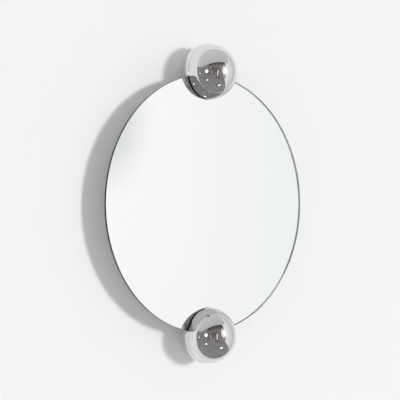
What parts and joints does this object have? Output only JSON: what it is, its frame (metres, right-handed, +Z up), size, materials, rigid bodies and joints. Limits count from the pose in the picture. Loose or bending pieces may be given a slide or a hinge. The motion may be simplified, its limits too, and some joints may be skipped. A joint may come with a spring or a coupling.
{
  "type": "round wall mirror",
  "caption": "Frameless round wall mirror pinched at its top and bottom edge between polished hollow ball clamps that stand it off the wall and hang on hooked wall plates.",
  "frame": {"origin": "on the wall's surface behind the centre of the glass, at the centre of the rectangle of wall-screw holes", "axes": "+Z up, along the line of the two balls; +Y into the wall, so the mirror faces -Y; +X to the right as seen from in front"},
  "size_m": [0.6099, 0.124, 0.7592],
  "materials": {
    "clear_glass": "polished float glass, faintly green in the edge",
    "silver": "wet silvered",
    "back_paint": "mirror backing paint",
    "safety_film": "pale woven-backed film",
    "ball_chrome": "polished",
    "inner_steel": "satin",
    "bolt_steel": "zinc plated",
    "sleeve_nylon": "natural nylon",
    "gasket_rubber": "matt black",
    "felt": "pressed felt",
    "plate_zinc": "zinc plated, pressed"
  },
  "bodies": {
    "wall_fixings": {"top_wall_plate": "plate_zinc", "bottom_wall_plate": "plate_zinc"},
    "mirror": {"mirror_glass": "clear_glass", "silver_layer": "silver", "backing_paint": "back_paint", "safety_film": "safety_film", "top_front_cap": "ball_chrome", "top_clamp_plate": "inner_steel", "top_front_gasket": "gasket_rubber", "top_edge_sleeve": "sleeve_nylon", "top_rear_gasket": "gasket_rubber", "top_rear_cup": "ball_chrome", "top_cup_bulkhead": "inner_steel", "top_clamp_washer": "bolt_steel", "top_clamp_bolt": "bolt_steel", "top_hanger_plate": "inner_steel", "top_felt_ring": "felt", "bottom_front_cap": "ball_chrome", "bottom_clamp_plate": "inner_steel", "bottom_front_gasket": "gasket_rubber", "bottom_edge_sleeve": "sleeve_nylon", "bottom_rear_gasket": "gasket_rubber", "bottom_rear_cup": "ball_chrome", "bottom_cup_bulkhead": "inner_steel", "bottom_clamp_washer": "bolt_steel", "bottom_clamp_bolt": "bolt_steel", "bottom_hanger_plate": "inner_steel", "bottom_felt_ring": "felt"}
  },
  "joints": [
    {"name": "lift_off", "type": "slide", "parent": "wall_fixings", "child": "mirror", "axis": [0, 0, 1], "range_m": [0, 0.007]}
  ]
}
